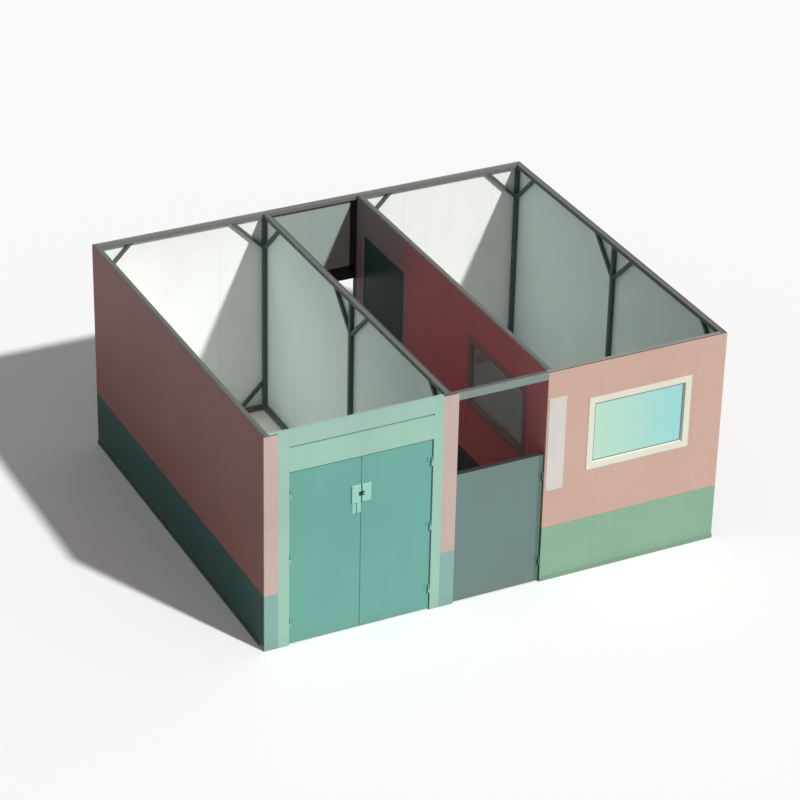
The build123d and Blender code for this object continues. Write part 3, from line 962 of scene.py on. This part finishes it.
class BOOTH_OT_exit_trim(bpy.types.Operator):
    """Trim the passage's far end with folded steel angle"""

    bl_idname = "booth.exit_trim"
    bl_label = "Exit trim"

    def execute(self, context):
        colours, sizes, _ = settings()
        transom_low, transom_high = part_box("passage_transom")
        left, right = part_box("partition_1_wall")[1].x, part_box("partition_2_rear_wall")[0].x
        sheet, leg, lip = sizes.trim_sheet, sizes.trim_leg, sizes.trim_lip
        inner, outer, head = transom_low.y, transom_high.y, transom_low.z
        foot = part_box("end_base_tracks")[1].z + sheet
        under_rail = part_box("back_top_rail")[0].z - sheet
        trim = bmesh.new()
        for face, out in ((left, 1), (right, -1)):
            jamb = [
                (out * sheet, inner - leg),
                (out * sheet, outer + sheet),
                (-out * lip, outer + sheet),
                (-out * lip, outer),
                (0, outer),
                (0, inner - leg),
            ]
            add_strip(trim, (face, 0, foot), (face, 0, head), [(x, y, 0) for x, y in jamb])
            corner = [
                (0, inner - leg),
                (out * sheet, inner - leg),
                (out * sheet, inner - sheet),
                (out * leg, inner - sheet),
                (out * leg, inner),
                (0, inner),
            ]
            add_strip(trim, (face, 0, head), (face, 0, under_rail), [(x, y, 0) for x, y in corner])
        # The head hangs deep in dark paint: painted shade over the opening under the transom
        under = head - sizes.trim_drop
        channel = [
            (inner - sheet, head + leg),
            (inner - sheet, under - sheet),
            (outer + sheet, under - sheet),
            (outer + sheet, head + lip),
            (outer, head + lip),
            (outer, under),
            (inner, under),
            (inner, head + leg),
        ]
        ends = (left + sheet, 0, 0), (right - sheet, 0, 0)
        add_strip(trim, *ends, [(0, y, z) for y, z in channel])
        piece("exit_trim", trim, tube_paint("exit_trim_paint", colours.exit_trim), BODY)
        paint = tube_paint("exit_screw_paint", colours.exit_trim)
        tree = screw_tree()
        for side, face, out in (("left", left, 1), ("right", right, -1)):
            x, y = face + out * sheet, inner - leg / 2
            run = [(x, y, foot + leg), (x, y, under_rail)]
            values = screw_values(sizes, "screw", sizes.screw_pitch, (out, 0, 0))
            follow(f"exit_screws_{side}", tree, [run], values, paint, BODY)
        return {"FINISHED"}


class BOOTH_OT_weld_beads(bpy.types.Operator):
    """Weld the knee braces to their posts and rails"""

    bl_idname = "booth.weld_beads"
    bl_label = "Weld beads"

    def execute(self, context):
        colours, sizes, _ = settings()
        inset = (TUBE - BRACE_BAR) / 2
        posts_low, posts_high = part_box("corner_posts")
        mid_low, mid_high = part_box("mid_posts")
        part_low, part_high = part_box("partition_posts")
        room_low = posts_low + Vector((TUBE, TUBE, 0))
        room_high = posts_high - Vector((TUBE, TUBE, 0))
        under_rail = (posts_high.z, -1, BRACE_LEG)
        on_base = (TUBE, 1, FOOT_BRACE_LEG)
        ahead = [(room_low.y, 1), (mid_low.y, -1), (mid_high.y, 1)]
        corners = [*ahead, (room_high.y, -1)]
        loops = []
        for face, places in (
            (posts_low.x, corners),
            (room_high.x, corners),
            (part_low.x, corners),
            (part_high.x - TUBE, ahead),
        ):
            for corner, out in places:
                loops += self.seats(1, corner, out, face + inset, *under_rail)
        ends = [(room_low.x, 1), (part_low.x, -1), (part_high.x, 1), (room_high.x, -1)]
        for corner, out in ends:
            for level in (under_rail, on_base):
                loops += self.seats(0, corner, out, room_high.y + inset, *level)
        for corner, out in ends[2:]:
            loops += self.seats(0, corner, out, posts_low.y + inset, *under_rail)
        values = {"Step": sizes.bead_step, "Radius": sizes.bead}
        paint = tube_paint("weld_paint", colours.tube)
        follow("brace_welds", bead_tree(), loops, values, paint, BODY, closed=True)
        return {"FINISHED"}

    def seats(self, axis, corner, out, start, level, to_post, leg):
        """The outlines of a brace's seats, on its post at corner and on its rail at level.

        The brace leans along the axis, and its bar starts at start across it.
        """
        cut = BRACE_BAR * sqrt(2)
        end = start + BRACE_BAR
        far, near = level + to_post * leg, level + to_post * (leg - cut)
        on_post = [(corner, w, z) for w, z in ((start, far), (end, far), (end, near), (start, near))]
        near, far = corner + out * (leg - cut), corner + out * leg
        on_rail = [(u, w, level) for u, w in ((near, start), (near, end), (far, end), (far, start))]
        if axis == 0:
            return [on_post, on_rail]
        return [[(w, u, z) for u, w, z in seat] for seat in (on_post, on_rail)]


class BOOTH_OT_anchor_bolts(bpy.types.Operator):
    """Bolt the base rails down"""

    bl_idname = "booth.anchor_bolts"
    bl_label = "Anchor bolts"

    def execute(self, context):
        colours, sizes, _ = settings()
        half = TUBE / 2
        low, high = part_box("base_rails")
        part_low, part_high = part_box("partition_posts")
        first, second = part_low.x + half, part_high.x - half
        front, back = low.y + half, high.y - half
        past_post = 0.12
        past_brace = TUBE + FOOT_BRACE_LEG + 0.1
        runs = []
        for x, last in (
            (low.x + half, back),
            (high.x - half, back),
            (first, back),
            (second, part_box("guard_door_frame")[0].y),
        ):
            runs.append([(x, front + past_post, TUBE), (x, -past_post, TUBE)])
            runs.append([(x, past_post, TUBE), (x, last - past_post, TUBE)])
        for start, end, y in ((low.x, first, back), (second, high.x, back), (second, high.x, front)):
            runs.append([(start + past_brace, y, TUBE), (end - past_brace, y, TUBE)])
        values = screw_values(sizes, "bolt", sizes.bolt_pitch, (0, 0, 1))
        steel = plated_steel("bolt_steel", colours.zinc)
        follow("anchor_bolts", screw_tree(), runs, values, steel, BODY)
        return {"FINISHED"}


class BOOTH_OT_sign(bpy.types.Operator):
    """Hang the bare sign plate beside the passage"""

    bl_idname = "booth.sign"
    bl_label = "Sign plate"

    def execute(self, context):
        colours, sizes, _ = settings()
        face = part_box("front_window_wall")[0].y
        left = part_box("front_window_wall")[0].x + sizes.sign_left
        right, top = left + sizes.sign_width, sizes.sign_top
        bottom = top - sizes.sign_height
        corner, thickness, rim, sunk = 0.012, 0.004, 0.007, 0.0012
        from_side, from_end = 0.02, 0.03
        mesh = bmesh.new()
        front = add_plate(mesh, left, right, bottom, top, face, thickness, corner)
        bmesh.ops.inset_region(mesh, faces=[front], thickness=rim, depth=0)
        bmesh.ops.inset_region(mesh, faces=[front], thickness=sunk, depth=0)
        for vert in front.verts:
            vert.co.y += sunk
        finish = Finish("sign_paint")
        scuffs = finish.noise(14.0, 5.0, (1, 1, 0.3), 7.0).ramp(0.55, 0.8)
        base = finish.shade(finish.weathered(colours.sign, 0.0, 0.6), scuffs, 0.94)
        piece("sign_plate", mesh, finish.painted(base, 0.3), BODY)
        fixings = bmesh.new()
        for x in (left + from_side, right - from_side):
            for z in spread(bottom + from_end, top - from_end, 3):
                centre = (x, face - thickness + sunk, z)
                add_dome(fixings, centre, (0, -1, 0), radius=0.0045, height=0.0022)
        steel = plated_steel("sign_fixing_steel", colours.zinc)
        piece("sign_fixings", fixings, steel, BODY, smooth=True)
        return {"FINISHED"}


class BOOTH_OT_gate(bpy.types.Operator):
    """Paint the gate, its frame and its lock"""

    bl_idname = "booth.gate"
    bl_label = "Gate"

    def execute(self, context):
        colours, _, _ = settings()
        paint = plain_paint("gate_paint", colours.gate, 0.38)
        dress(paint, "gate_leaf_left", "gate_leaf_right")
        dress(plain_paint("gate_frame_paint", colours.gate_frame, 0.4), "gate_jambs", "gate_header")
        self.meeting_strips(paint)
        return {"FINISHED"}

    def meeting_strips(self, paint):
        """A folded strip down the front of each leaf's free edge narrows the gap between the leaves."""
        _, sizes, _ = settings()
        reach, fold, behind = sizes.edge_strip, 0.0015, 0.0003
        for name, out in (("left", 1), ("right", -1)):
            low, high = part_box(f"gate_leaf_{name}")
            edge = high.x if out > 0 else low.x
            front = low.y + behind
            section = [
                (-OVERLAP, 0),
                (reach - fold, 0),
                (reach, fold),
                (reach, 2 * fold),
                (reach - fold, 3 * fold),
                (-OVERLAP, 3 * fold),
            ]
            strip = bmesh.new()
            points = [(out * x, y, 0) for x, y in section]
            add_strip(strip, (edge, front, low.z + fold), (edge, front, high.z - fold), points)
            piece(f"gate_leaf_{name}_edge", strip, paint, f"gate_leaf_{name}_body")


class BOOTH_OT_lock(bpy.types.Operator):
    """Fit the key plates, the cylinder and the screws of the gate's lock"""

    bl_idname = "booth.lock"
    bl_label = "Lock"

    def execute(self, context):
        colours, sizes, _ = settings()
        paint = plain_paint("lock_paint", colours.lock, 0.35)
        dress(paint, "gate_lock_left", "gate_lock_right")
        self.pull_plate(paint, sizes.pull_plate_width)
        dark = black_rubber("key_plate_black", KEY_BLACK)
        steel = plated_steel("lock_steel", LOCK_STEEL, 0.3)
        low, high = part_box("gate_lock_right")
        sunk = 0.004
        plate_face, key_height = low.y + sunk, (low.z + high.z) / 2
        screw_columns, from_end = (0.014, 0.086), 0.016
        for side, name, edge in (
            (-1, "left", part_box("gate_lock_left")[1].x),
            (1, "right", low.x),
        ):
            body = f"gate_leaf_{name}_body"
            ends = sorted((edge + side * OVERLAP, edge + side * (KEY_SLOT - OVERLAP)))
            plate = bmesh.new()
            add_box(
                plate,
                (ends[0], plate_face, key_height - KEY_SLOT + OVERLAP),
                (ends[1], high.y, key_height + KEY_SLOT - OVERLAP),
                bevel=0.0008,
            )
            if side > 0:
                centre = Vector((edge + KEY_SLOT / 2, plate_face, key_height))
                self.cylinder(centre, steel, body)
                self.keyway(plate, centre)
            piece(f"key_plate_{name}", plate, dark, body)
            screws = bmesh.new()
            for column in screw_columns:
                for z in (low.z + from_end, high.z - from_end):
                    centre = (edge + side * column, low.y, z)
                    add_dome(screws, centre, (0, -1, 0), radius=0.005, height=0.0025)
            piece(f"lock_screws_{name}", screws, steel, body, smooth=True)
        return {"FINISHED"}

    def pull_plate(self, paint, width):
        """The plate that the gate's pull stands on, under the left half of the lock case."""
        low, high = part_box("gate_lock_left")
        under_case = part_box("gate_lock_right")[0].z
        below, thickness, corner = 0.004, 0.003, 0.006
        left, right = high.x - width, high.x - OVERLAP
        mesh = bmesh.new()
        add_plate(mesh, left, right, low.z - below, under_case + OVERLAP, high.y, thickness, corner)
        piece("pull_plate", mesh, paint, "gate_leaf_left_body")

    def cylinder(self, centre, steel, body):
        """The lock's cylinder: a collar with a sunk face round the key."""
        collar = bmesh.new()
        profile = [(0.0095, 0), (0.0095, 0.0085), (0.0088, 0.0095), (0.0072, 0.0095), (0.0066, 0.0080)]
        add_turned(collar, centre, (0, -1, 0), profile, 28)
        piece("key_cylinder", collar, steel, body, smooth=True)

    def keyway(self, plate, centre):
        """The slit in the cylinder's face, drawn as a dark bar: painted shade in the key hole."""
        half_width, half_height = 0.0008, 0.004
        inner, outer = 0.0070, 0.0088
        low = centre - Vector((half_width, outer, half_height))
        high = centre + Vector((half_width, -inner, half_height))
        add_box(plate, low, high, bevel=0.0002)


class BOOTH_OT_leaf_seals(bpy.types.Operator):
    """Fit the rubber lips under the leaves and the edge cap on the low door"""

    bl_idname = "booth.leaf_seals"
    bl_label = "Leaf seals"

    def execute(self, context):
        colours, sizes, _ = settings()
        rubber = black_rubber("seal_rubber", colours.rubber)
        end = 0.004
        # Across the leaf, and down from its lower edge
        flange = [(0.015, -OVERLAP), (0.015, 0.0025), (0.005, 0.0035)]
        half = [*flange, (0.0035, sizes.lip)]
        outline = half + [(-across, drop) for across, drop in reversed(half)]
        for leaf, body, slot in (
            ("gate_leaf_left", "gate_leaf_left_body", "gate_paint"),
            ("gate_leaf_right", "gate_leaf_right_body", "gate_paint"),
            ("passage_door", "passage_door_body", "passage_door_paint"),
            ("guard_door", "guard_door_body", "guard_door_paint"),
        ):
            low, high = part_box(leaf)
            lip = bmesh.new()
            if leaf == "guard_door":
                across = (low.x + high.x) / 2
                section = [(w, 0, -drop) for w, drop in outline]
                add_strip(lip, (across, low.y + end, low.z), (across, high.y - end, low.z), section)
            else:
                across = (low.y + high.y) / 2
                section = [(0, w, -drop) for w, drop in outline]
                add_strip(lip, (low.x + end, across, low.z), (high.x - end, across, low.z), section)
            piece(leaf + "_lip", lip, rubber, body)
        self.edge_cap(rubber)
        return {"FINISHED"}

    def edge_cap(self, rubber):
        """A rubber channel over the low door's upper edge."""
        low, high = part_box("passage_door")
        wall, leg = 0.0015, 0.012
        front, back, top = low.y, high.y, high.z
        channel = [
            (front - wall, top - leg),
            (front - wall, top + wall),
            (back + wall, top + wall),
            (back + wall, top - leg),
            (back, top - leg),
            (back, top),
            (front, top),
            (front, top - leg),
        ]
        cap = bmesh.new()
        add_strip(cap, (low.x, 0, 0), (high.x, 0, 0), [(0, y, z) for y, z in channel])
        piece("passage_door_cap", cap, rubber, "passage_door_body")


class BOOTH_OT_doors(bpy.types.Operator):
    """Paint the passage door and the guard room's door"""

    bl_idname = "booth.doors"
    bl_label = "Doors"

    def execute(self, context):
        colours, _, _ = settings()
        finish = Finish("passage_door_paint")
        stile = finish.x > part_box("passage_door")[1].x - DOOR_STILE
        base = finish.weathered(finish.mix(stile, colours.passage_door, colours.door_stile))
        dress(finish.painted(base, 0.44), "passage_door")
        dress(plain_paint("guard_door_paint", colours.guard_door), "guard_door", "guard_door_frame")
        return {"FINISHED"}


class BOOTH_OT_windows(bpy.types.Operator):
    """Finish the window frames and the glass"""

    bl_idname = "booth.windows"
    bl_label = "Windows"

    def execute(self, context):
        colours, _, _ = settings()
        finish = Finish("window_frame_paint")
        behind = finish.y > FRONT_ONLY
        base = finish.weathered(finish.mix(behind, colours.window_cream, colours.window_dark), 0.0)
        paint = finish.painted(base, 0.35)
        dress(paint, "window_frames")
        tint = glass_tint_and_reflection("window_glass_tint", colours.glass_pale_reflection, colours.glass_blue_reflection, colours.glass_smoke)
        dress(tint, "window_glass")
        self.beads_and_seals(paint, black_rubber("glazing_rubber", colours.seal))
        return {"FINISHED"}

    def beads_and_seals(self, paint, rubber):
        """A quarter-round bead and a rubber seal on each face of both panes."""
        _, sizes, _ = settings()
        low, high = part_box("window_glass")
        bead, seal = sizes.glazing_bead, sizes.seal
        quarter = [(bead * sin(radians(a)), bead * cos(radians(a))) for a in range(0, 91, 18)]
        bead_section = [(-OVERLAP, -OVERLAP), (-OVERLAP, bead), *quarter[1:], (bead, -OVERLAP)]
        start, end, rise, slope = bead - OVERLAP, bead + seal, 0.004, 0.003
        seal_section = [
            (start, -OVERLAP),
            (start, rise),
            (end - slope, rise),
            (end, rise / 2),
            (end, -OVERLAP),
        ]
        front = (high.x - FRONT_PANE, high.x)
        passage = (high.y - PASSAGE_PANE, high.y)
        faces = (
            (front, lambda u, v, out: (u, low.y - out, v)),
            (front, lambda u, v, out: (u, low.y + GLASS + out, v)),
            (passage, lambda u, v, out: (low.x - out, u, v)),
            (passage, lambda u, v, out: (low.x + GLASS + out, u, v)),
        )
        beads, seals = bmesh.new(), bmesh.new()
        for (left, right), at in faces:
            add_mitred_ring(beads, (left, low.z), (right, high.z), bead_section, at)
            add_mitred_ring(seals, (left, low.z), (right, high.z), seal_section, at)
        piece("glazing_beads", beads, paint, BODY, smooth=True)
        piece("glazing_seals", seals, rubber, BODY)


class BOOTH_OT_hardware(bpy.types.Operator):
    """Finish the hinges and the door handle"""

    bl_idname = "booth.hardware"
    bl_label = "Hinges and handle"

    def execute(self, context):
        colours, _, _ = settings()
        gate = plain_paint("gate_hinge_paint", colours.gate)
        door = plain_paint("door_hinge_paint", colours.door_stile)
        zinc = plated_steel("zinc_steel", colours.zinc)
        dress(gate, "gate_leaf_left_hinges", "gate_leaf_right_hinges")
        dress(door, "passage_door_hinges")
        dress(zinc, "guard_door_hinges")
        dress(self.pin_paint(colours), "hinge_pins")
        dress(plated_steel("handle_steel", HANDLE_STEEL, 0.26), "guard_door_handle")
        self.hinge_screws(gate, door, zinc)
        self.handle_fittings(plated_steel("cylinder_steel", CYLINDER_STEEL, 0.3))
        return {"FINISHED"}

    def pin_paint(self, colours):
        """The pins at the front are painted with the frame that carries them, and the rest are plated."""
        finish = Finish("hinge_pin_paint")
        front = finish.y < FRONT_ONLY
        beside_gate = finish.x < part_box("front_pier")[0].x
        frame_paint = finish.mix(beside_gate, colours.door_stile, colours.gate_frame)
        material = finish.painted(finish.mix(front, colours.zinc, frame_paint), 0.4)
        finish.feed(finish.surface.inputs["Metallic"], (1 - front) * 0.85)
        return material

    def hinge_screws(self, gate, door, zinc):
        """Four screws through each hinge strap."""
        _, sizes, _ = settings()
        tree = screw_tree()
        rise, columns = 0.026, (0.009, 0.023)
        # From the box of the hinges to the face of their straps
        front_strap, guard_strap = 0.005, 0.018
        for leaf, count, side, finish in (
            ("gate_leaf_left", 3, 1, gate),
            ("gate_leaf_right", 3, -1, gate),
            ("passage_door", 2, -1, door),
            ("guard_door", 3, -1, zinc),
        ):
            low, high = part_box(leaf + "_hinges")
            runs = []
            for start in spread(low.z, high.z - HINGE_HALF, count):
                bottom = start + (HINGE_HALF - rise) / 2
                for from_end in columns:
                    if leaf == "guard_door":
                        x, y, normal = high.x - guard_strap, low.y + from_end, (1, 0, 0)
                    else:
                        x = high.x - from_end if side > 0 else low.x + from_end
                        y, normal = high.y - front_strap, (0, -1, 0)
                    runs.append([(x, y, bottom), (x, y, bottom + rise)])
            values = screw_values(sizes, "hinge_screw", rise, normal)
            follow(leaf + "_hinge_screws", tree, runs, values, finish, leaf + "_body")

    def handle_fittings(self, steel):
        """A key cylinder and two screws on each plate of the guard door's handle."""
        low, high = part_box("guard_door")
        handle_low, handle_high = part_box("guard_door_handle")
        half_plate, under_lever, to_screw = 0.020, 0.055, 0.086
        y, z = handle_low.y + half_plate, (handle_low.z + handle_high.z) / 2
        profile = [(0.0085, -OVERLAP), (0.0085, 0.005), (0.0078, 0.0058), (0.0052, 0.0058), (0.0048, 0.005)]
        fittings = bmesh.new()
        for face, out in ((high.x + HANDLE_PLATE, 1), (low.x - HANDLE_PLATE, -1)):
            axis = (out, 0, 0)
            add_turned(fittings, (face, y, z - under_lever), axis, profile, 24)
            for rise in (-to_screw, to_screw):
                add_dome(fittings, (face, y, z + rise), axis, radius=0.004, height=0.002)
        piece("handle_fittings", fittings, steel, "guard_door_body", smooth=True)


class BOOTH_OT_stage(bpy.types.Operator):
    """Set up the floor, the lamp, the light from all round and the camera"""

    bl_idname = "booth.stage"
    bl_label = "Stage"

    def execute(self, context):
        _, _, stage = settings()
        scene = context.scene
        scene.view_settings.view_transform = "Standard"
        self.floor(scene, stage.floor_size / 2)
        self.surroundings(scene, stage.fill)
        self.lamp(scene, stage)
        self.camera(scene, stage)
        return {"FINISHED"}

    def floor(self, scene, half):
        """A pale floor just under the booth."""
        below = 0.002
        corners = [(-half, -half, 0), (half, -half, 0), (half, half, 0), (-half, half, 0)]
        data = bpy.data.meshes.new("floor")
        data.from_pydata(corners, [], [(0, 1, 2, 3)])
        data.materials.append(self.floor_material())
        floor = bpy.data.objects.new("floor", data)
        floor.location.z = -below
        scene.collection.objects.link(floor)

    def floor_material(self):
        """White to the camera, while it throws less light back on the booth, most of it inside the rooms."""
        finish = Finish("floor_paint")
        low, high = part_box("base_rails")
        within = (finish.x > low.x) * (finish.x < high.x) * (finish.y > low.y) * (finish.y < high.y)
        thrown = finish.mix(within, (0.5, 0.5, 0.5), (0.85, 0.85, 0.85))
        finish.feed(finish.surface.inputs["Base Color"], finish.mix(finish.seen(), thrown, (1.0, 1.0, 1.0)))
        finish.surface.inputs["Roughness"].default_value = 0.9
        finish.surface.inputs["Specular IOR Level"].default_value = 0.1
        return finish.material

    def surroundings(self, scene, fill):
        """White behind the booth, and a plain light from all round on it."""
        world = bpy.data.worlds.new("surroundings")
        world.use_nodes = True
        scene.world = world
        graph = Graph(world.node_tree)
        backdrop = graph.tree.nodes["Background"]
        backdrop.inputs["Color"].default_value = (1, 1, 1, 1)
        graph.feed(backdrop.inputs["Strength"], graph.seen() * (1 - fill) + fill)

    def lamp(self, scene, stage):
        """One soft lamp, as the photo's shadow has it."""
        data = bpy.data.lights.new("key", "SUN")
        data.energy = stage.key
        data.angle = stage.softness
        lamp = bpy.data.objects.new("key", data)
        lamp.rotation_euler = Vector(TOWARDS_LAMP).to_track_quat("Z", "Y").to_euler()
        scene.collection.objects.link(lamp)

    def camera(self, scene, stage):
        """The photo's view."""
        data = bpy.data.cameras.new("camera")
        data.lens = stage.lens
        data.clip_end = 500
        camera = bpy.data.objects.new("camera", data)
        flat = cos(stage.elevation) * stage.distance
        rise = sin(stage.elevation) * stage.distance
        away = Vector((-sin(stage.azimuth) * flat, -cos(stage.azimuth) * flat, rise))
        camera.location = Vector((0, 0, stage.aim_height)) + away
        level = away.to_track_quat("Z", "Y")
        camera.rotation_euler = (level @ Quaternion((0, 0, 1), stage.roll)).to_euler()
        scene.collection.objects.link(camera)
        scene.camera = camera


# The add-on


OPERATORS = (
    BOOTH_OT_stage,
    BOOTH_OT_walls,
    BOOTH_OT_wall_screws,
    BOOTH_OT_steel_frame,
    BOOTH_OT_exit_trim,
    BOOTH_OT_weld_beads,
    BOOTH_OT_anchor_bolts,
    BOOTH_OT_sign,
    BOOTH_OT_gate,
    BOOTH_OT_lock,
    BOOTH_OT_leaf_seals,
    BOOTH_OT_doors,
    BOOTH_OT_windows,
    BOOTH_OT_hardware,
)


class BOOTH_PT_sidebar(bpy.types.Panel):
    """The booth's pieces and finishes"""

    bl_idname = "BOOTH_PT_sidebar"
    bl_label = "Guard booth"
    bl_space_type = "VIEW_3D"
    bl_region_type = "UI"
    bl_category = "Booth"

    def draw(self, context):
        for operator in OPERATORS:
            self.layout.operator(operator.bl_idname)
        for group in settings():
            box = self.layout.box()
            for name in group.bl_rna.properties.keys():
                if name not in ("rna_type", "name"):
                    box.prop(group, name)


GROUPS = {"booth_colours": BoothColours, "booth_sizes": BoothSizes, "booth_stage": BoothStage}


def register():
    for group in GROUPS.values():
        bpy.utils.register_class(group)
    for name, group in GROUPS.items():
        setattr(bpy.types.Scene, name, PointerProperty(type=group))
    for operator in (*OPERATORS, BOOTH_PT_sidebar):
        bpy.utils.register_class(operator)


def unregister():
    for operator in reversed((*OPERATORS, BOOTH_PT_sidebar)):
        bpy.utils.unregister_class(operator)
    for name in GROUPS:
        delattr(bpy.types.Scene, name)
    for group in reversed(GROUPS.values()):
        bpy.utils.unregister_class(group)


def main():
    register()
    for operator in OPERATORS:
        group, name = operator.bl_idname.split(".")
        getattr(getattr(bpy.ops, group), name)()


if __name__ == "__main__":
    main()
